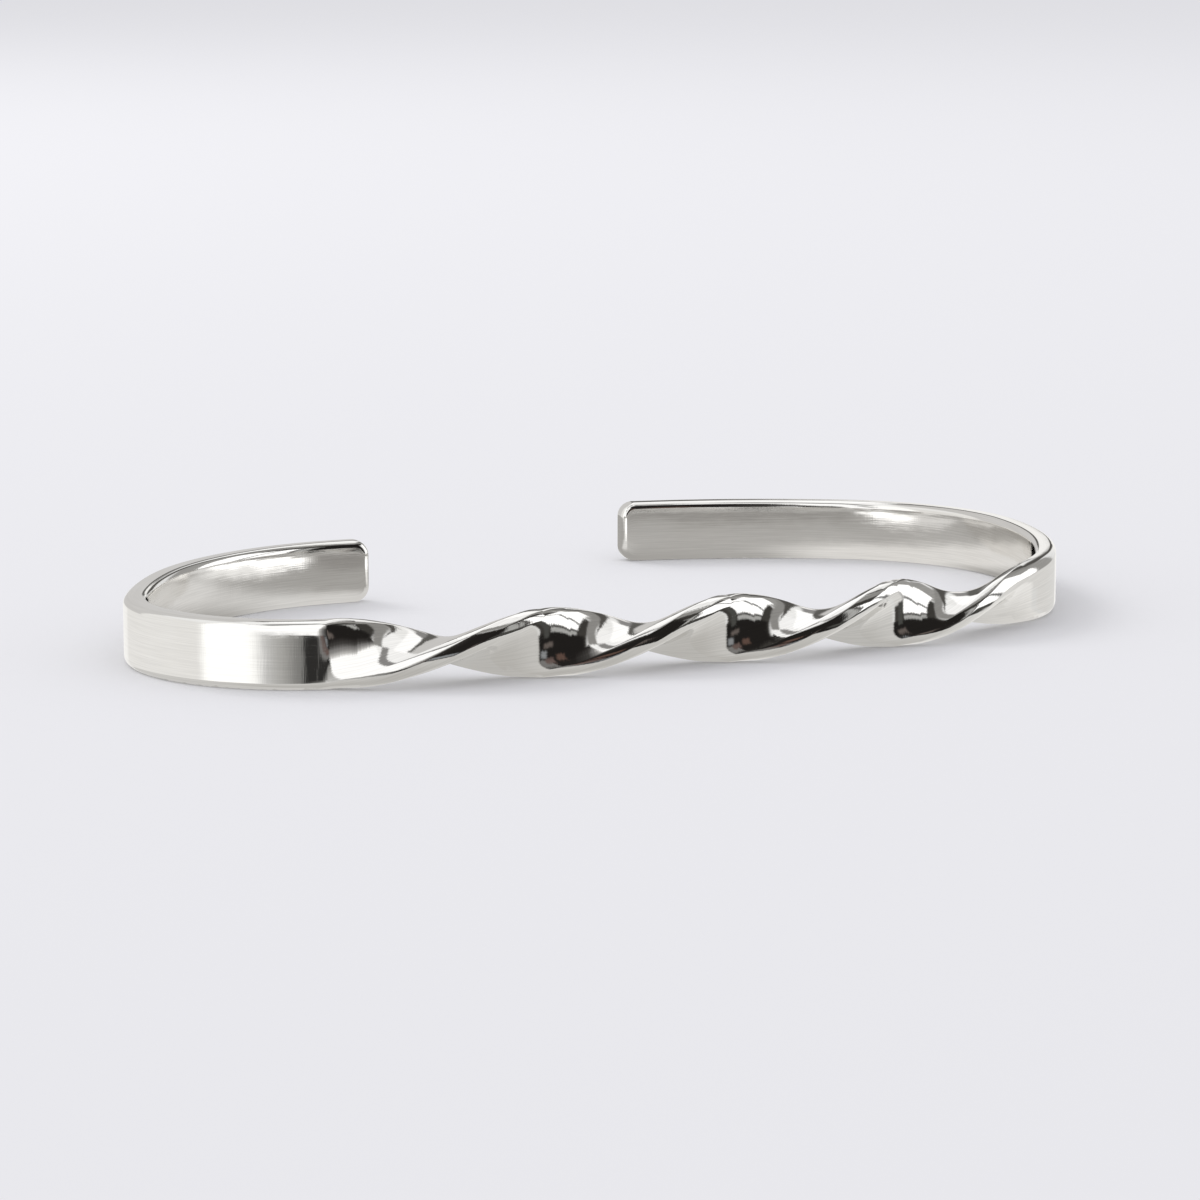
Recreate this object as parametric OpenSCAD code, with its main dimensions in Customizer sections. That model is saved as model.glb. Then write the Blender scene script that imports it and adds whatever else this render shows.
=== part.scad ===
// Open cuff bangle bent from one flat metal strip, with its front stretch twisted.
// Lengths are in millimetres. It lies on its side on z = 0, with the gap towards +Y.

/* [Strip] */
// Width of the flat strip, which is the bangle's height as it lies on its side
strip_w = 4; // [3.6:0.1:6]
// Thickness of the flat strip
strip_t = 1.5; // [1:0.05:2]
// Length of the strip from tip to tip before it is bent
strip_len = 140; // [120:1:180]
// Radius along the strip's long edges
edge_r = 0.4; // [0.1:0.05:0.45]
// Radius of the corners at the two tips
tip_r = 1; // [0.4:0.1:1.3]

/* [Twist] */
// Half turns in the twisted front stretch
half_turns = 4; // [2:1:6]
// How much tighter the twist gets from its left end to its right end
twist_gain = 0.11; // [0:0.01:0.3]
// Share of the twisted stretch in which the twist dies away at its right end
fade_share = 0.22; // [0.05:0.01:0.4]

/* [Hidden] */

// The strip's path seen from above, from the left tip round the front to the right tip.
// A row for each arc: its share of the strip's length, how far it turns in degrees, and
// whether the strip is flat or twisted along it.
SHARE = 0;
TURN = 1;
FORM = 2;
arcs = [
  [0.059, 31, "flat"],
  [0.076, 30.5, "flat"],
  [0.056, 12.5, "flat"],
  [0.123, 99, "flat"],
  [0.108, 16.5, "twisted"],
  [0.087, -3, "twisted"],
  [0.142, 28, "twisted"],
  [0.039, 29, "twisted"],
  [0.102, 29, "flat"],
  [0.100, 62.5, "flat"],
  [0.108, 24, "flat"]
];
// Direction of the path at the left tip, in degrees from +X.
tip_heading = 167;

// Steps between the strip's cross-sections along the arms, round the twist and at the tips.
arm_step = 1.2;
twist_step = 5;
tip_steps = 5;
// Directions of the points on each rounded long edge, in degrees.
edge_turns = [0, 30, 60, 90];

function total(list, n, i = 0) = i >= n ? 0 : list[i] + total(list, n, i + 1);
shares = [for (row = arcs) row[SHARE]];
share_sum = total(shares, len(shares));
turns = [for (row = arcs) row[TURN]];
// Distance along the strip, and direction, where each arc starts, with the end of the last.
starts = [for (i = [0 : len(arcs)]) strip_len * total(shares, i) / share_sum];
headings = [for (i = [0 : len(arcs)]) tip_heading + total(turns, i)];

// Straight step from the start of an arc to a point on it, for its length and turn so far.
function chord(length, turn, heading) =
  let (reach = abs(turn) < 0.001 ? length : 360 * length * sin(turn / 2) / (PI * turn))
  reach * [cos(heading + turn / 2), sin(heading + turn / 2)];
function arc_length(i) = starts[i + 1] - starts[i];
function corner(i) = i == 0 ? [0, 0]
  : corner(i - 1) + chord(arc_length(i - 1), turns[i - 1], headings[i - 1]);
corners = [for (i = [0 : len(arcs)]) corner(i)];

// Arc, direction and place of the strip's middle line at a distance s from the left tip.
function arc_at(s, i = 0) = i >= len(arcs) - 1 || s < starts[i + 1] ? i : arc_at(s, i + 1);
function turn_at(s) = let (i = arc_at(s)) turns[i] * (s - starts[i]) / arc_length(i);
function heading_at(s) = headings[arc_at(s)] + turn_at(s);
function place_at(s) = let (i = arc_at(s))
  corners[i] + chord(s - starts[i], turn_at(s), headings[i]);

// The strip's roll about its middle line: none on the arms, steadily more in the front, and
// slower and slower in the fade before the right arm.
twisted = [for (i = [0 : len(arcs) - 1]) if (arcs[i][FORM] == "twisted") i];
twist_from = starts[min(twisted)];
twist_to = starts[max(twisted) + 1];
function faded(w) =
  (w < 1 - fade_share ? w : 1 - fade_share / 2 - (1 - w) * (1 - w) / (2 * fade_share))
  / (1 - fade_share / 2);
function roll_share(w) = let (f = faded(w)) (1 - twist_gain) * f + twist_gain * f * f;
function roll_at(s) =
  180 * half_turns * roll_share(min(1, max(0, (s - twist_from) / (twist_to - twist_from))));

// Half the width at s: full along the strip, and rounded off towards each tip.
function half_width(s) =
  let (inset = max(0, tip_r - min(s, strip_len - s)))
  strip_w / 2 - tip_r + sqrt(max(0, tip_r * tip_r - inset * inset));

// Cross-section with rounded edges, as [across the width, across the thickness].
function section(half_w, half_t) = [
  for (quarter = [[1, 1, 0], [-1, 1, 90], [-1, -1, 180], [1, -1, 270]],
       edge_turn = edge_turns)
    let (a = quarter[2] + edge_turn)
    [quarter[0] * (half_w - edge_r) + edge_r * cos(a),
     quarter[1] * (half_t - edge_r) + edge_r * sin(a)]
];

// Height of the middle line: the twisted corners are lifted clear of the table.
function middle_height(roll) =
  max(strip_w / 2,
      (strip_w / 2 - edge_r) * abs(cos(roll)) + (strip_t / 2 - edge_r) * abs(sin(roll)) + edge_r);

// One cross-section set at s: its width stands up on the arms and turns with the roll.
function ring(s) =
  let (p = place_at(s), h = heading_at(s), roll = roll_at(s), out = [sin(h), -cos(h)])
  [for (q = section(half_width(s), strip_t / 2))
    let (side = q[1] * cos(roll) - q[0] * sin(roll),
         up = q[0] * cos(roll) + q[1] * sin(roll))
    [p[0] + side * out[0], p[1] + side * out[1], middle_height(roll) + up]];

// Distances of all cross-sections, closer together in the twist and at the tips.
function spread(from, to, count) = [for (k = [0 : count - 1]) from + (to - from) * k / count];
left_tip = [for (k = [0 : tip_steps - 1]) tip_r * (1 - cos(90 * k / tip_steps))];
right_tip = [for (k = [tip_steps - 1 : -1 : 0]) strip_len - left_tip[k]];
left_arm = spread(tip_r, twist_from, ceil((twist_from - tip_r) / arm_step));
front = spread(twist_from, twist_to, ceil(180 * half_turns / twist_step));
right_arm = spread(twist_to, strip_len - tip_r, ceil((strip_len - tip_r - twist_to) / arm_step));
stations = concat(left_tip, left_arm, front, right_arm, [strip_len - tip_r], right_tip);

rings = [for (s = stations) ring(s)];
ring_size = 4 * len(edge_turns);
skin = [for (r = rings, q = r) q];
// The middle of the outline is set over the origin.
low = [for (axis = [0, 1]) min([for (q = skin) q[axis]])];
high = [for (axis = [0, 1]) max([for (q = skin) q[axis]])];
middle = (low + high) / 2;

function at(r, k) = r * ring_size + k % ring_size;
sides = [for (r = [0 : len(rings) - 2], k = [0 : ring_size - 1], half = [0, 1])
  half == 0 ? [at(r, k), at(r + 1, k), at(r + 1, k + 1)]
            : [at(r, k), at(r + 1, k + 1), at(r, k + 1)]];
left_end = [for (k = [0 : ring_size - 1]) at(0, k)];
right_end = [for (k = [ring_size - 1 : -1 : 0]) at(len(rings) - 1, k)];

module cuff() {
  color([0.8, 0.8, 0.79])
    translate([-middle[0], -middle[1], 0])
      polyhedron(points = skin, faces = concat(sides, [left_end, right_end]), convexity = 8);
}

cuff();
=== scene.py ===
"""Twisted silver cuff on a plain pale floor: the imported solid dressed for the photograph's view."""
from functools import partial
from math import acos, cos, pi, radians, sin, sqrt

import bpy
import numpy as np
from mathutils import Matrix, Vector


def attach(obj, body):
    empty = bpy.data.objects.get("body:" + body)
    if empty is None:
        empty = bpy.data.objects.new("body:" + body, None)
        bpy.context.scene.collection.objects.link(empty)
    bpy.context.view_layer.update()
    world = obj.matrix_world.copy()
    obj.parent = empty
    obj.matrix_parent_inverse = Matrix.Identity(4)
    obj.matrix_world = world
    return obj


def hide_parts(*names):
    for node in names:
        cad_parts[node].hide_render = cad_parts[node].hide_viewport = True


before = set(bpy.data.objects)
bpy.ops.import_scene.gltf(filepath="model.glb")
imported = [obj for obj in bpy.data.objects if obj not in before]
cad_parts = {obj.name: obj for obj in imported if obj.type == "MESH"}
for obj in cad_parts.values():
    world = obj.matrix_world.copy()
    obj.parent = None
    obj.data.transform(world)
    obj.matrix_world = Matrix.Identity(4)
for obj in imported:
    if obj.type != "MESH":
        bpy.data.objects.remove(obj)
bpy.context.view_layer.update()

MM = 0.001
UP = np.array([0, 0, 1.0])

# The strip, in millimetres and degrees as in the part's source.
# Each arc's share of the strip's length, and its turn to the left.
ARCS = [(0.059, 31.0), (0.076, 30.5), (0.056, 12.5), (0.123, 99.0), (0.108, 16.5), (0.087, -3.0),
        (0.142, 28.0), (0.039, 29.0), (0.102, 29.0), (0.100, 62.5), (0.108, 24.0)]
TWISTED = (4, 7)                        # first and last twisted arc
TIP_HEADING = 167.0                     # direction of the strip at its left tip
MIDDLE = np.array([9.04655, -12.8244])  # the cuff's middle, seen from that tip
LENGTH = 140.0
CAD_WIDTH, CAD_THICK = 4.0, 1.5
WIDTH, THICK = 3.975, 1.46              # the dressed strip is a hair slimmer than the solid
EDGE, TIP = 0.4, 1.0                    # radii of the long edges and of the tips' corners
HALF_TURNS = 4
GAIN = 0.11                             # how much tighter the twist gets towards the right
FADE = 0.22                             # last share of the twist, in which it dies away

# Faces that fall away towards the strip's edges, where it was wrung and a little on the arms too.
FLAT = 0.9                              # half of the wide face's flat middle
THINNER = (0.05, 0.18)                  # share of the thickness lost at the edge, on an arm and in the twist
NARROWER = (0.02, 0.07)                 # share of the width lost at the edge, on an arm and in the twist
WRING = 3.0                             # half the length over which one section turns into the other

# The mesh's steps round the section and along the strip.
FACE_STEPS, SIDE_STEPS, EDGE_STEPS = 20, 4, 8
TIP_STEPS, END_STEPS = 14, 6
ARM_STEP, TWIST_STEP = 0.45, 0.13
EDGE_WEAR, FACE_WEAR, SIDE_WEAR = 1.0, 0.0, 0.6
STRAIGHT = 1e-5                         # an arc that turns less, in radians, is a straight line
NUDGE = 1e-3                            # step either way in measuring the change along the strip

# The camera, in metres, degrees and millimetres of lens.
CAM_PLACE = (-0.13339, -0.23449, 0.04481)
CAM_TILT, CAM_TURN = radians(80.8), radians(-29.757)
SENSOR, LENS = 36, 132
CLIP_NEAR, CLIP_FAR = 0.01, 50
FORWARD = np.array([-sin(CAM_TURN), cos(CAM_TURN), 0])
RIGHT = np.array([cos(CAM_TURN), sin(CAM_TURN), 0])


# The strip's path and roll.
def chord(length, turn, heading):
    """Straight step along an arc, for its length and its turn and direction in radians."""
    bent = np.where(np.abs(turn) < STRAIGHT, 1, turn)
    reach = np.where(np.abs(turn) < STRAIGHT, length, 2 * length * np.sin(turn / 2) / bent)
    return reach[..., None] * np.stack([np.cos(heading + turn / 2), np.sin(heading + turn / 2)], -1)


SHARES = np.array([share for share, turn in ARCS])
TURNS = np.radians([turn for share, turn in ARCS])
STARTS = np.concatenate([[0], np.cumsum(SHARES) / SHARES.sum() * LENGTH])
HEADINGS = radians(TIP_HEADING) + np.concatenate([[0], np.cumsum(TURNS)])
CORNERS = np.concatenate([[[0, 0]], np.cumsum(chord(np.diff(STARTS), TURNS, HEADINGS[:-1]), 0)])
TWIST_FROM, TWIST_TO = STARTS[TWISTED[0]], STARTS[TWISTED[1] + 1]


def path(s):
    """Place and direction of the middle line at the distances s from the left tip."""
    arc = np.clip(np.searchsorted(STARTS, s, "right") - 1, 0, len(ARCS) - 1)
    along = s - STARTS[arc]
    turn = TURNS[arc] * along / (STARTS[arc + 1] - STARTS[arc])
    return CORNERS[arc] + chord(along, turn, HEADINGS[arc]), HEADINGS[arc] + turn


def roll(s):
    """Angle in radians by which the strip has rolled at the distances s."""
    share = np.clip((s - TWIST_FROM) / (TWIST_TO - TWIST_FROM), 0, 1)
    fading = 1 - FADE / 2 - (1 - share) ** 2 / (2 * FADE)
    share = np.where(share < 1 - FADE, share, fading) / (1 - FADE / 2)
    return pi * HALF_TURNS * ((1 - GAIN) * share + GAIN * share * share)


def lay(s, a, b):
    """Points of the swept strip: s along it, a across its width, b across its thickness."""
    place, heading = path(s)
    turn = roll(s)
    upright, level = np.abs(np.cos(turn)), np.abs(np.sin(turn))
    lowest = (CAD_WIDTH / 2 - EDGE) * upright + (CAD_THICK / 2 - EDGE) * level + EDGE
    lift = np.maximum(CAD_WIDTH / 2, lowest)
    # the slimmer strip stands on the same table
    lift = lift - (CAD_WIDTH - WIDTH) / 2 * upright - (CAD_THICK - THICK) / 2 * level
    side = b * np.cos(turn)[..., None] - a * np.sin(turn)[..., None]
    rise = a * np.cos(turn)[..., None] + b * np.sin(turn)[..., None]
    x = place[:, None, 0] + side * np.sin(heading)[:, None] - MIDDLE[0]
    y = place[:, None, 1] - side * np.cos(heading)[:, None] - MIDDLE[1]
    return np.stack([x, y, lift[:, None] + rise], -1)


# The strip's section.
def ease(x, start, end):
    """0 up to the start and 1 from the end on, with a smooth rise between."""
    share = np.clip((x - start) / (end - start), 0, 1)
    return share * share * (3 - 2 * share)


def quarter(s):
    """One rounded edge at s, from the narrow face to the wide one: rows of a, b and the normal (s, a, b)."""
    far = min(s, LENGTH - s)
    sign = -1 if s < LENGTH / 2 else 1
    inset = max(0, TIP - far)
    last_angle = acos(max(-1, 1 - min(1, far / EDGE)))
    rows = []
    for step in range(EDGE_STEPS + 1):
        angle = last_angle * step / EDGE_STEPS
        radius = TIP - EDGE * (1 - cos(angle))
        rise = sqrt(max(0, radius ** 2 - inset ** 2)) if inset > 0 else radius
        out_s, out_a = (sign * inset / radius, rise / radius) if inset > 0 else (0, 1)
        a = WIDTH / 2 - TIP + rise
        b = THICK / 2 - EDGE + EDGE * sin(angle)
        rows.append((a, b, out_s * cos(angle), out_a * cos(angle), sin(angle)))
    return rows


def lost_at_edges(s):
    """Shares of the thickness and of the width that the section at s has lost at its very edges."""
    begun = ease(s, TWIST_FROM - WRING, TWIST_FROM + WRING)
    ended = ease(s, TWIST_TO - WRING, TWIST_TO + WRING)
    share = begun * (1 - ended)
    return [arm + (twist - arm) * share for arm, twist in (THINNER, NARROWER)]


def wrung(point, thinner, narrower):
    """A section's point and normal once the faces fall away towards the strip's edges."""
    a, b, normal_s, normal_a, normal_b, wear = point
    slope_width = WIDTH / 2 - FLAT
    past = max(0, abs(a) - FLAT) / slope_width
    thick_left = 1 - thinner * past ** 3
    thick_slope = -3 * thinner * past ** 2 / slope_width * (1 if a > 0 else -1)
    width_left = 1 - narrower * (2 * b / THICK) ** 2
    width_slope = -narrower * 8 * b / THICK ** 2
    scale = thick_left * width_left - a * width_slope * b * thick_slope
    turned_a = (thick_left * normal_a - b * thick_slope * normal_b) / scale
    turned_b = (width_left * normal_b - a * width_slope * normal_a) / scale
    return a * width_left, b * thick_left, normal_s, turned_a, turned_b, wear


def section(s):
    """Closed ring at s of rows (a, b, normal s, normal a, normal b, wear), from the upper narrow face."""
    corner = quarter(s)
    ring = []
    for sign_a, sign_b in ((1, 1), (-1, 1), (-1, -1), (1, -1)):
        wide_next = sign_a == sign_b
        rows = corner if wide_next else corner[::-1]
        rounded = [(sign_a * a, sign_b * b, out_s, sign_a * out_a, sign_b * out_b)
                   for a, b, out_s, out_a, out_b in rows]
        ring += [(*point, EDGE_WEAR) for point in rounded]
        a, b, *normal = rounded[-1]
        if wide_next:
            ring += [(a * (1 - 2 * k / FACE_STEPS), b, *normal, FACE_WEAR) for k in range(1, FACE_STEPS)]
        else:
            ring += [(a, b * (1 - 2 * k / SIDE_STEPS), *normal, SIDE_WEAR) for k in range(1, SIDE_STEPS)]
    lost = lost_at_edges(s)
    return [wrung(point, *lost) for point in ring]


# The strip's mesh.
def stations_along():
    """Distances of the rings: close at the rounded tips and in the twist, wider apart on the arms."""
    tip = [TIP * (1 - cos(radians(90 * k / TIP_STEPS))) for k in range(TIP_STEPS)]
    tip += [EDGE * k / END_STEPS for k in range(1, END_STEPS + 1)]
    tip = np.array(sorted({round(s, 5) for s in tip}))
    left = np.linspace(TIP, TWIST_FROM, int((TWIST_FROM - TIP) / ARM_STEP), endpoint=False)
    twist = np.linspace(TWIST_FROM, TWIST_TO, int((TWIST_TO - TWIST_FROM) / TWIST_STEP), endpoint=False)
    right = np.linspace(TWIST_TO, LENGTH - TIP, int((LENGTH - TIP - TWIST_TO) / ARM_STEP))
    return np.concatenate([tip, left, twist, right, LENGTH - tip[::-1]])


def dot(u, v):
    return (u * v).sum(-1, keepdims=True)


def strip_normals(s, rings):
    """Exact normals of the swept strip, for its rings of section points."""
    a, b = rings[..., 0], rings[..., 1]
    normal_s, normal_a, normal_b = rings[..., 2:3], rings[..., 3:4], rings[..., 4:5]
    before, after = np.clip(s - NUDGE, 0, LENGTH), np.clip(s + NUDGE, 0, LENGTH)
    change = (lay(after, a, b) - lay(before, a, b)) / (after - before)[:, None, None]
    turn, heading = roll(s)[:, None], path(s)[1][:, None]
    out = np.stack([np.sin(heading), -np.cos(heading), 0 * heading], -1)
    ahead = np.stack([np.cos(heading), np.sin(heading), 0 * heading], -1)
    wide = UP * np.cos(turn)[..., None] - out * np.sin(turn)[..., None]
    thin = out * np.cos(turn)[..., None] + UP * np.sin(turn)[..., None]
    lean = (normal_s - normal_a * dot(change, wide) - normal_b * dot(change, thin)) / dot(change, ahead)
    normals = normal_a * wide + normal_b * thin + lean * ahead
    return normals / np.linalg.norm(normals, axis=-1, keepdims=True)


def strip_faces(rows, cols):
    """Quads between neighbouring rings, and a cap on each tip."""
    faces = []
    for row in range(rows - 1):
        here, there = row * cols, (row + 1) * cols
        for k in range(cols):
            after = (k + 1) % cols
            faces.append((here + k, here + after, there + after, there + k))
    faces.append(tuple(reversed(range(cols))))
    faces.append(tuple(range((rows - 1) * cols, rows * cols)))
    return faces


def strip_uvs(s, rings):
    """UVs of the faces' corners in lengths of strip, along it and round it, so wear keeps its true scale."""
    arm_ring = rings[len(s) // 3, :, :2]
    sides = np.linalg.norm(np.diff(np.concatenate([arm_ring, arm_ring[:1]]), axis=0), axis=1)
    around = np.concatenate([[0], np.cumsum(sides)]) / LENGTH
    along = s / LENGTH
    uvs = []
    for u0, u1 in zip(along, along[1:]):
        for v0, v1 in zip(around, around[1:]):
            uvs += [(u0, v0), (u0, v1), (u1, v1), (u1, v0)]
    for end, cap in ((0.0, rings[0, ::-1]), (1.0, rings[-1])):
        uvs += [(end + b / LENGTH, a / LENGTH) for a, b in cap[:, :2]]
    return np.array(uvs)


def strip_mesh():
    """The dressed strip, with the UVs and the wear mark that its material reads."""
    s = stations_along()
    rings = np.array([section(station) for station in s])
    points = lay(s, rings[..., 0], rings[..., 1])
    faces = strip_faces(*points.shape[:2])
    made = bpy.data.meshes.new("cuff_strip")
    made.from_pydata((points.reshape(-1, 3) * MM).tolist(), [], faces)
    made.polygons.foreach_set("use_smooth", [True] * (len(faces) - 2) + [False] * 2)
    uv_layer = made.uv_layers.new(name="strip")
    uv_layer.data.foreach_set("uv", strip_uvs(s, rings).ravel())
    wear = made.attributes.new("edge", "FLOAT", "POINT")
    wear.data.foreach_set("value", rings[..., 5].ravel())
    made.update()
    made.normals_split_custom_set_from_vertices(strip_normals(s, rings).reshape(-1, 3).tolist())
    return made


# Polished silver.
def node(tree, kind, at, **values):
    """A node of this kind with its settings and its inputs' values, where _ stands for a space."""
    made = tree.nodes.new(kind)
    made.location = at
    for name, value in values.items():
        if hasattr(made, name):
            setattr(made, name, value)
        else:
            made.inputs[name.replace("_", " ")].default_value = value
    return made


def noise(tree, at, vector, **values):
    made = node(tree, "ShaderNodeTexNoise", at, **values)
    tree.links.new(vector, made.inputs["Vector"])
    return made.outputs["Fac"]


def drawn_out(tree, at, vector, scale, degrees):
    """The vector scaled apart along and across the strip, and turned a little."""
    made = node(tree, "ShaderNodeMapping", at, Scale=scale, Rotation=(0, 0, radians(degrees)))
    tree.links.new(vector, made.inputs["Vector"])
    return made.outputs["Vector"]


def mapped(tree, at, value, **ends):
    made = node(tree, "ShaderNodeMapRange", at, **ends)
    tree.links.new(value, made.inputs["Value"])
    return made.outputs["Result"]


def sum_of(tree, at, first, second):
    made = node(tree, "ShaderNodeMath", at, operation="ADD")
    tree.links.new(first, made.inputs[0])
    tree.links.new(second, made.inputs[1])
    return made.outputs[0]


def colours(tree, at, value, low, high):
    """A colour ramp between two (position, tone) ends."""
    made = node(tree, "ShaderNodeValToRGB", at)
    for element, (position, tone) in zip(made.color_ramp.elements, (low, high)):
        element.position = position
        element.color = (*tone, 1)
    tree.links.new(value, made.inputs["Fac"])
    return made.outputs["Color"]


def bump(tree, at, height, distance, under=None):
    made = node(tree, "ShaderNodeBump", at, Strength=1.0, Distance=distance)
    tree.links.new(height, made.inputs["Height"])
    if under is not None:
        tree.links.new(under, made.inputs["Normal"])
    return made.outputs["Normal"]


def silver_roughness(tree, place, scratch):
    """A mirror with hand-polishing haze in patches, fine scratches, and duller rounded edges."""
    haze = noise(tree, (-1000, 100), place, Scale=420.0, Detail=5.0, Roughness=0.6)
    hazy = mapped(tree, (-800, 100), haze, From_Min=0.38, From_Max=0.78, To_Min=0.02, To_Max=0.075)
    scratched = mapped(tree, (-800, -200), scratch, From_Min=0.56, From_Max=0.74, To_Min=0.0, To_Max=0.07)
    wear = node(tree, "ShaderNodeAttribute", (-1000, 350), attribute_name="edge")
    worn = mapped(tree, (-800, 350), wear.outputs["Fac"], To_Min=0.0, To_Max=0.02)
    return sum_of(tree, (-350, 100), sum_of(tree, (-550, 50), hazy, scratched), worn)


def silver_colour(tree, place, scratch):
    """Silver's own colour, faintly warmer and duller in cloudy patches and along the scratches."""
    cloud = noise(tree, (-1000, 650), place, Scale=140.0, Detail=3.0, Roughness=0.5)
    tone = colours(tree, (-750, 650), cloud, (0.3, (0.93, 0.915, 0.89)), (0.7, (0.975, 0.968, 0.95)))
    fine = mapped(tree, (-750, 900), scratch, From_Min=0.35, From_Max=0.7, To_Min=0.0, To_Max=1.0)
    streak = colours(tree, (-600, 950), fine, (0.0, (0.88, 0.88, 0.88)), (1.0, (1, 1, 1)))
    both = node(tree, "ShaderNodeMix", (-450, 700), data_type="RGBA", blend_type="MULTIPLY")
    both.inputs[0].default_value = 1.0
    # a colour mix takes its two colours at 6 and 7 and gives the result at 2
    tree.links.new(tone, both.inputs[6])
    tree.links.new(streak, both.inputs[7])
    return both.outputs[2]


def silver_relief(tree, place, scratch, brush):
    """Slow waviness left by bending and polishing, then the brushed lines and the scratches, in metres."""
    wave = noise(tree, (-1000, -900), place, Scale=520.0, Detail=1.5, Roughness=0.4)
    waves = bump(tree, (-550, -800), wave, 0.000016)
    brushed = bump(tree, (-350, -600), brush, 0.000002, waves)
    return bump(tree, (-150, -450), scratch, 0.0000015, brushed)


def silver_material():
    made = bpy.data.materials.new("polished_silver")
    made.use_nodes = True
    tree = made.node_tree
    shader = tree.nodes["Principled BSDF"]
    shader.inputs["Metallic"].default_value = 1.0
    shader.inputs["IOR"].default_value = 1.5
    place = node(tree, "ShaderNodeTexCoord", (-1500, 0)).outputs["Object"]
    strip_uv = node(tree, "ShaderNodeUVMap", (-1500, -300), uv_map="strip").outputs["UV"]
    # wiping scratches are noise drawn out along the strip, and the brushed lines are a finer set across it
    lengthwise = drawn_out(tree, (-1250, -300), strip_uv, (30, 1500, 1), 14)
    scratch = noise(tree, (-1000, -300), lengthwise, Scale=1.0, Detail=3.0, Roughness=0.7)
    crosswise = drawn_out(tree, (-1250, -600), strip_uv, (1300, 60, 1), -8)
    brush = noise(tree, (-1000, -600), crosswise, Scale=1.0, Detail=3.0, Roughness=0.65)
    tree.links.new(silver_roughness(tree, place, scratch), shader.inputs["Roughness"])
    tree.links.new(silver_colour(tree, place, scratch), shader.inputs["Base Color"])
    tree.links.new(silver_relief(tree, place, scratch, brush), shader.inputs["Normal"])
    return made


strip = strip_mesh()
strip.materials.append(silver_material())
cuff = bpy.data.objects.new("cuff_strip", strip)
bpy.context.scene.collection.objects.link(cuff)
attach(cuff, "root")
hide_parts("cuff")

# The camera at the photograph's angle.
camera = bpy.data.objects.new("camera", bpy.data.cameras.new("camera"))
bpy.context.scene.collection.objects.link(camera)
camera.location = CAM_PLACE
camera.rotation_euler = (CAM_TILT, 0, CAM_TURN)
camera.data.sensor_width = SENSOR
camera.data.lens = LENS
camera.data.clip_start, camera.data.clip_end = CLIP_NEAR, CLIP_FAR
bpy.context.scene.camera = camera


# The floor and the other things that are staged.
FLOOR_HALF = 6.0
FLOOR_TONE = (0.805, 0.803, 0.822)


def matt(name, tone):
    """A matt material of one tone."""
    made = bpy.data.materials.new(name)
    made.use_nodes = True
    shader = made.node_tree.nodes["Principled BSDF"]
    shader.inputs["Base Color"].default_value = (*tone, 1)
    shader.inputs["Roughness"].default_value = 0.6
    shader.inputs["Specular IOR Level"].default_value = 0.0
    return made


def glow(name):
    """Emission from the tone attribute, which lights nothing by itself."""
    made = bpy.data.materials.new(name)
    made.use_nodes = True
    tree = made.node_tree
    tree.nodes.remove(tree.nodes["Principled BSDF"])
    emission = node(tree, "ShaderNodeEmission", (0, 0))
    tone = node(tree, "ShaderNodeAttribute", (-300, 0), attribute_name="tone")
    tree.links.new(tone.outputs["Color"], emission.inputs["Color"])
    tree.links.new(emission.outputs["Emission"], tree.nodes["Material Output"].inputs["Surface"])
    made.cycles.emission_sampling = "NONE"
    return made


def staged(name, points, polygons, material):
    mesh = bpy.data.meshes.new(name)
    mesh.from_pydata(points, [], polygons)
    mesh.materials.append(material)
    made = bpy.data.objects.new(name, mesh)
    bpy.context.scene.collection.objects.link(made)
    return made


floor_corners = [(x * FLOOR_HALF, y * FLOOR_HALF, 0) for x, y in ((-1, -1), (1, -1), (1, 1), (-1, 1))]
floor = staged("floor", floor_corners, [(0, 1, 2, 3)], matt("floor_plain", FLOOR_TONE))
floor.visible_glossy = False


def lit(name, grid, tones, keep=None):
    """A glowing sheet over a grid of points, seen in reflections alone; cells with no kept corner go."""
    rows, cols = grid.shape[:2]
    cells = [(r * cols + c, r * cols + c + 1, (r + 1) * cols + c + 1, (r + 1) * cols + c)
             for r in range(rows - 1) for c in range(cols - 1)]
    if keep is not None:
        kept = keep.ravel()
        cells = [cell for cell in cells if any(kept[k] for k in cell)]
        used = sorted({k for cell in cells for k in cell})
        number = {k: n for n, k in enumerate(used)}
        cells = [tuple(number[k] for k in cell) for cell in cells]
        grid, tones = grid.reshape(-1, 3)[used], tones.reshape(-1, 3)[used]
    sheet = staged(name, grid.reshape(-1, 3).tolist(), cells, glow(name + "_glow"))
    layer = sheet.data.color_attributes.new("tone", "FLOAT_COLOR", "POINT")
    layer.data.foreach_set("color", np.insert(tones.reshape(-1, 3), 3, 1, axis=1).ravel())
    sheet.visible_camera = sheet.visible_diffuse = sheet.visible_transmission = False
    sheet.visible_shadow = sheet.visible_volume_scatter = False


def painter(shape, *first):
    """A field of one tone, and the brush that lays another tone over it through a mask."""
    field = np.zeros(shape + (3,)) + first

    def paint(mask, *tone):
        field[...] = field * (1 - mask[..., None]) + mask[..., None] * np.array(tone)
    return field, paint


# The room round the cuff by direction, in degrees, as painted reflections on a glowing dome that the silver
# mirrors and that lights nothing: bearing 0 is towards the camera and + to its right.
DOME_RADIUS = 1.2
DOME_COLS, DOME_ROWS = 360, 180


def window(bearing, height, sides, ends, soft):
    """1 inside a panel between two sides and two ends, falling to 0 over soft degrees."""
    left, right = sides
    low, high = ends
    off = np.abs((bearing - (left + right) / 2 + 180) % 360 - 180) - (right - left) / 2
    return (1 - ease(off, 0, soft)) * ease(height, low - soft, low) * (1 - ease(height, high, high + soft))


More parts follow.
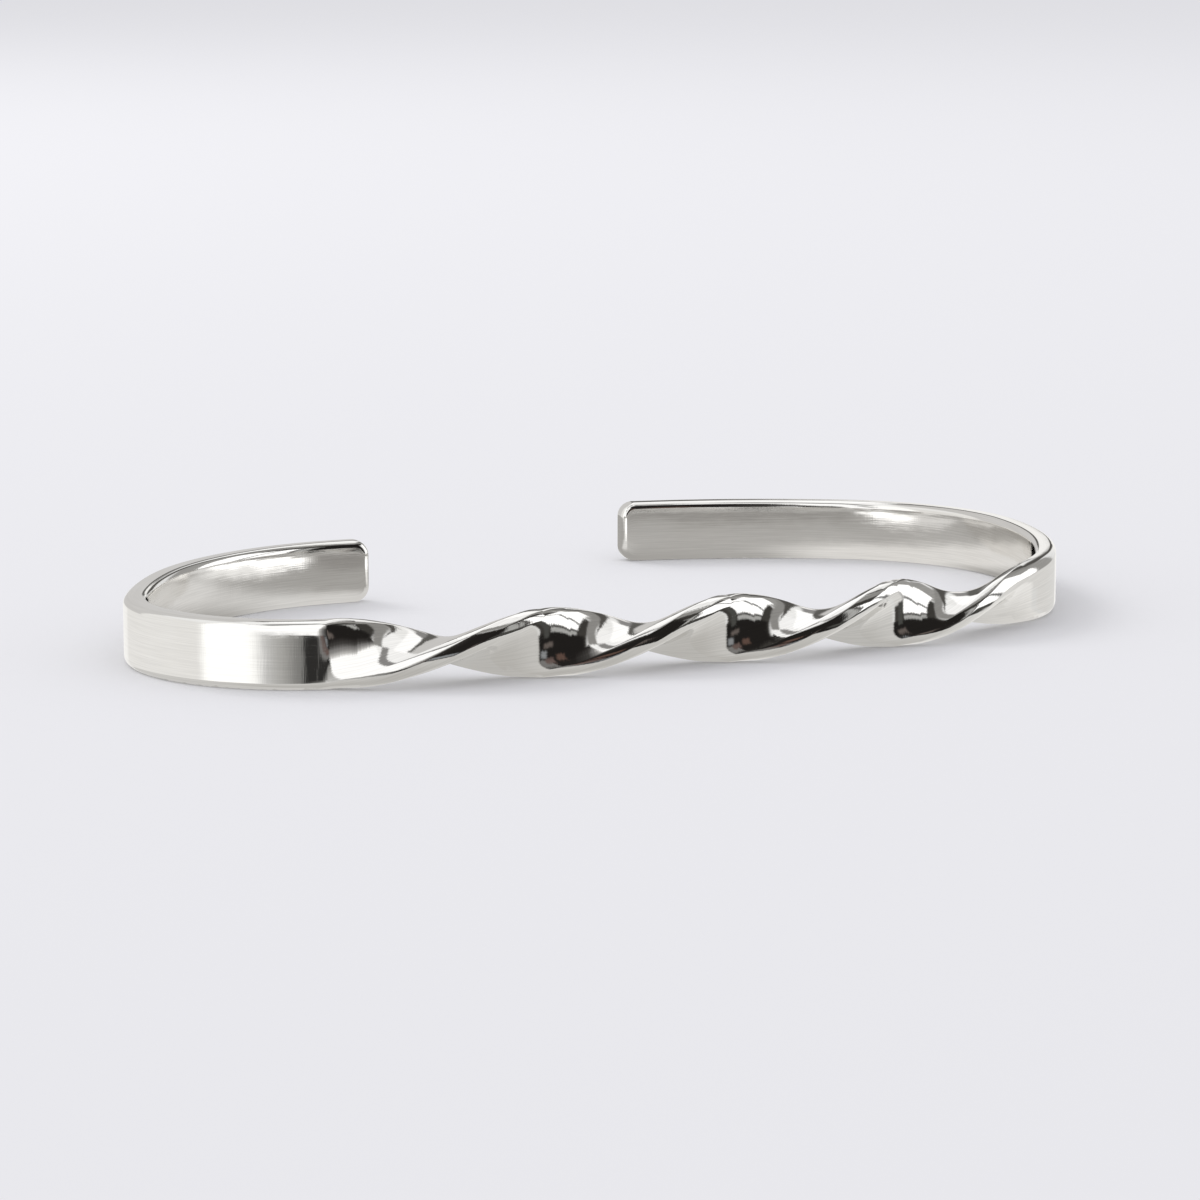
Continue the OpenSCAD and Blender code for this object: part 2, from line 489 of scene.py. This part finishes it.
def overhead_bar(rightward, cameraward):
    """1 on the window bar that the first turn mirrors, by a direction's shares rightward and cameraward."""
    across = 0.565 * rightward + 0.825 * cameraward
    along = 0.565 * cameraward - 0.825 * rightward
    between_ends = ease(along, -0.06, 0.0) * (1 - ease(along, 0.58, 0.64))
    return (1 - ease(np.abs(across - 0.18), 0.07, 0.11)) * between_ends


BAR_TONE = (0.27, 0.265, 0.26)


def walls(panel, paint):
    """Pale walls, and the bright windows at the front left and overhead."""
    paint(panel((-180, 180), (30, 90), 10), 0.92, 0.92, 0.915)
    paint(panel((-180, -66), (-90, 25), 14), 0.84, 0.83, 0.81)
    paint(panel((-60, -29), (-40, 50), 8), 1.2, 1.2, 1.18)
    paint(panel((-34, 2), (-4, 64), 5), 1.15, 1.15, 1.15)
    paint(panel((-180, 180), (66, 90), 6), 1.0, 1.0, 1.0)


def dark_side(panel, paint):
    """The dark side of the room, where the camera stands, with two small things in it."""
    paint(panel((2, 112), (-19, 54), 7), 0.05, 0.047, 0.043)
    paint(panel((12, 60), (-18, 50), 7), 0.016, 0.0145, 0.0135)
    paint(panel((26, 34), (-15, -10), 4), 0.26, 0.27, 0.28)
    paint(panel((42, 46), (-10, 0), 4), 0.13, 0.11, 0.10)


def crease_bands(panel, paint, bearing):
    """Bands that the left arm mirrors where it turns into the twist."""
    crease = panel((-60, 18), (-16, -5), 4)
    paint(crease * ease(bearing, -36, -10), 0.42, 0.415, 0.40)
    paint(crease * ease(bearing, -14, 1), 0.21, 0.208, 0.20)
    paint(panel((2.5, 10.5), (-17, -4), 2), 0.03, 0.029, 0.028)
    paint(panel((13, 18), (-17, -5), 3), 0.20, 0.195, 0.19)
    paint(panel((17, 22), (-9, 1), 3), 0.14, 0.10, 0.09)
    paint(panel((20, 25), (9, 17), 4), 0.12, 0.075, 0.06)


def tall_windows(panel, paint, bearing, height):
    """Tall windows at the right, with a leaning bar, their frames and the beam over them."""
    paint(panel((120, 152), (-2, 44), 4), 0.34, 0.335, 0.325)
    beam = np.interp(bearing, [30, 50, 75, 104, 126, 141, 150, 160], [68, 66, 63, 57, 51, 43, 34, 20])
    paint(window(bearing, height - beam, (40, 158), (-5, 6), 3), 0.28, 0.275, 0.265)
    paint(panel((64, 70), (0, 40), 1.5), 0.42, 0.42, 0.41)
    paint(panel((76, 127), (-1, 40), 2), 1.35, 1.35, 1.35)
    leaning = bearing + (height - 25) * 0.35
    paint(window(leaning, height, (93, 96), (-1, 40), 1.5), 0.14, 0.14, 0.14)


def window_behind(panel, paint, bearing, height):
    """The bright window behind, and the dark line round the end of the wall."""
    paint(panel((165, 215), (36, 85), 5), 1.15, 1.15, 1.15)
    paint(panel((165, 210), (-14, 12), 5), 0.95, 0.94, 0.92)
    paint(panel((172, 205), (16, 32), 4), 0.27, 0.265, 0.26)
    wall_end = np.interp(height, [0, 12, 28, 43, 53, 60, 66, 69], [170, 166, 159, 149, 140, 130, 110, 90])
    paint(window(bearing - wall_end, height, (-3, 3), (4, 68), 2), 0.09, 0.086, 0.08)


def far_corner(paint, bearing, height):
    """The wall's far corner, dark along its line and grey beyond it."""
    corner = np.interp(height, [5, 10, 37, 55, 68], [178, 180, 184, 194, 211])
    paint(window(bearing - corner, height, (2, 60), (-2, 66), 4), 0.62, 0.61, 0.60)
    paint(window(bearing - corner, height, (-2, 2), (6, 68), 2), 0.12, 0.117, 0.11)


def table_outside(panel, paint, bearing, height):
    """The table seen from above, with the light of the windows on it."""
    paint(panel((98, 160), (-22, -6), 6), 0.72, 0.712, 0.695)
    table = 1 - ease(height, -22, -19)
    paint(table, 0.51, 0.50, 0.48)
    paint(table * ease(height, -70, -20), 0.60, 0.592, 0.575)
    paint(table * (1 - ease(bearing, -80, -30)), 0.62, 0.612, 0.597)
    paint(table * ease(bearing, 50, 150) * ease(height, -70, -12), 0.90, 0.89, 0.87)
    # a painted bright line along the table's far edge, then a thin painted shadow line under the tall
    # windows
    paint(panel((66, 130), (-21, -19), 2), 0.74, 0.74, 0.73)
    paint(panel((58, 98), (-10, -5), 3), 0.07, 0.07, 0.065)


def room(bearing, height):
    """Painted reflection tones of the whole room, each thing laid over those before it."""
    tones, paint = painter(bearing.shape, 0.82, 0.82, 0.82)
    panel = partial(window, bearing, height)
    walls(panel, paint)
    dark_side(panel, paint)
    crease_bands(panel, paint, bearing)
    tall_windows(panel, paint, bearing, height)
    window_behind(panel, paint, bearing, height)
    level = np.cos(np.radians(height))
    bar = overhead_bar(level * np.sin(np.radians(bearing)), level * np.cos(np.radians(bearing)))
    paint(bar, *BAR_TONE)
    far_corner(paint, bearing, height)
    table_outside(panel, paint, bearing, height)
    return tones


def dome():
    bearing, height = np.meshgrid(np.linspace(-180, 180, DOME_COLS + 1), np.linspace(-90, 90, DOME_ROWS + 1))
    turn, tilt = np.radians(bearing), np.radians(height)
    rightward = (np.sin(turn) * np.cos(tilt))[..., None] * RIGHT
    cameraward = (np.cos(turn) * np.cos(tilt))[..., None] * FORWARD
    ways = rightward - cameraward + np.sin(tilt)[..., None] * UP
    lit("studio_dome", ways * DOME_RADIUS, room(bearing, height))


# The pale card, in millimetres: a glowing sheet of painted reflection tones, seen in reflections alone; it
# stands before the first turn of the twist and faces it.
FIRST_TURN = np.array([-22.793, -14.694, 0])
CARD_AWAY = 25.0
CARD_LEFT, CARD_TOP = -30.0, 70.0
CARD_FADE = 16.0                        # how far the card goes on to the right of its white part
CARD_COLS, CARD_ROWS = 64, 70


def white_end(z):
    """How far right the card's white part reaches at a height."""
    return 1.5 + 0.27 * z


def card_tones(x, z):
    """Tones of the card: white at the left, shaded off to the right, with the overhead bar across it."""
    tones, paint = painter(x.shape, 1.15, 1.15, 1.15)
    past = x - white_end(z)
    paint(ease(past, -0.5, 1.5), 0.60, 0.59, 0.575)
    paint(ease(past, 0.5, 5), 0.26, 0.255, 0.25)
    paint(ease(past, 4, 10), 0.06, 0.057, 0.054)
    paint(ease(past, 8, CARD_FADE), 0.018, 0.016, 0.015)
    distance = np.sqrt(x * x + CARD_AWAY ** 2 + z * z)
    bar = overhead_bar(x / distance, CARD_AWAY / distance)
    paint(bar * (1 - ease(past, -1, 0.5)), *BAR_TONE)
    return tones


def card():
    heights, shares = np.linspace(0, CARD_TOP, CARD_ROWS + 1), np.linspace(0, 1, CARD_COLS + 1)
    z, share = np.meshgrid(heights, shares, indexing="ij")
    x = CARD_LEFT + share * (white_end(z) + CARD_FADE - CARD_LEFT)
    places = FIRST_TURN - CARD_AWAY * FORWARD + x[..., None] * RIGHT + z[..., None] * UP
    lit("studio_card", places * MM, card_tones(x, z))


# The table-top inside the ring, in millimetres, which the inner faces mirror: a glowing sheet of painted
# reflection tones, with painted highlights and painted shade.
CELL = 0.5
TABLE_X, TABLE_Y = (-33, 33.1), (-21, 60.1)
TABLE_Z = -0.01
LINE_POINTS, HEM_POINTS = 300, 90
HEM_END = 0.5                           # how far from the strip's tips the hem leaves it
BEHIND = [[16, 60], [-12, 60]]          # where the hem closes, behind the gap
UNDER_STRIP = 0.1                       # how far the patch reaches past the strip's middle line


def inside(hem, x, y):
    """Whether each place lies inside the closed line through the hem's places."""
    hit = np.zeros(x.shape, bool)
    for (x0, y0), (x1, y1) in zip(hem, np.roll(hem, -1, axis=0)):
        if y0 != y1:
            hit ^= ((y0 > y) != (y1 > y)) & (x < x0 + (x1 - x0) * (y - y0) / (y1 - y0))
    return hit


def spot(x, y, middle, size, soft=1.0):
    """1 on a round patch about a place, falling to 0 at its rim."""
    share = np.hypot((x - middle[0]) / size[0], (y - middle[1]) / size[1])
    return 1 - ease(share, 1 - 0.5 * soft, 1 + 0.5 * soft)


def table_tones(x, y, away):
    """Painted reflection tones of the table-top, with painted highlights and patches of painted shade; away
    is the distance from the strip's line, + outside the ring.
    """
    tones, paint = painter(x.shape, 0.40, 0.39, 0.375)
    # under the left arm: a painted bright patch, a painted shade patch at its tip and a painted highlight,
    # which its inner face mirrors
    paint(spot(x, y, (-10, 13), (8, 5)), 0.70, 0.69, 0.675)
    paint(spot(x, y, (-6.5, -8), (5, 6.5)), 0.30, 0.29, 0.277)
    paint(spot(x, y, (0, 5), (3.6, 7)), 0.90, 0.89, 0.87)
    # under the right arm: a painted shade patch, a mid-grey one and painted bright patches, which its inner
    # face mirrors
    paint(spot(x, y, (11.5, -5.5), (5, 4)), 0.32, 0.31, 0.297)
    paint(spot(x, y, (18, 9), (6, 8)), 0.46, 0.45, 0.436)
    paint(spot(x, y, (27, 9), (6, 6)), 0.78, 0.765, 0.745)
    paint(spot(x, y, (8, 12), (5, 9), 0.6), 0.75, 0.74, 0.725)
    # a pool of light that both mirror
    paint(spot(x, y, (1.2, -2), (4.2, 4.6), 0.6), 1.6, 1.59, 1.57)
    paint(spot(x, y, (6, 4.5), (4, 5), 0.6), 1.6, 1.59, 1.57)
    # under the twist and the strip, as the dome shows the table outside
    rim = np.maximum(ease(away, -0.4, 0.6), 1 - ease(y, -14.5, -12))
    paint(rim, 0.53, 0.522, 0.505)
    paint(rim * ease(x, 14, 22), 0.72, 0.71, 0.69)
    return tones


def table_top():
    x, y = np.meshgrid(np.arange(*TABLE_X, CELL), np.arange(*TABLE_Y, CELL))
    line = path(np.linspace(0, LENGTH, HEM_POINTS))[0] - MIDDLE
    away = np.sqrt(((x[..., None] - line[:, 0]) ** 2 + (y[..., None] - line[:, 1]) ** 2).min(-1))
    hem = path(np.linspace(HEM_END, LENGTH - HEM_END, HEM_POINTS))[0] - MIDDLE
    away = np.where(inside(np.vstack([hem, BEHIND]), x, y), -away, away)
    places = np.stack([x, y, np.full(x.shape, TABLE_Z)], -1)
    lit("studio_table_top", places * MM, table_tones(x, y, away), away < UNDER_STRIP)


dome()
card()
table_top()


# The light: soft air all round and one large key light, in metres and watts.
AIR_TONE, AIR_STRENGTH = (0.93, 0.93, 0.95), 0.98
KEY_PLACE, KEY_SIZE, KEY_POWER = (-0.25, 0.75, 0.65), 0.5, 2.0

world = bpy.data.worlds.new("studio_air")
bpy.context.scene.world = world
world.use_nodes = True
world.node_tree.nodes["Background"].inputs["Color"].default_value = (*AIR_TONE, 1)
world.node_tree.nodes["Background"].inputs["Strength"].default_value = AIR_STRENGTH

light = bpy.data.lights.new("key_softbox", "AREA")
light.shape, light.size, light.energy = "DISK", KEY_SIZE, KEY_POWER
key = bpy.data.objects.new("key_softbox", light)
bpy.context.scene.collection.objects.link(key)
key.location = KEY_PLACE
key.rotation_euler = (-Vector(KEY_PLACE)).to_track_quat("-Z", "Y").to_euler()
key.visible_glossy = key.visible_camera = False
bpy.context.scene.view_settings.view_transform = "Standard"
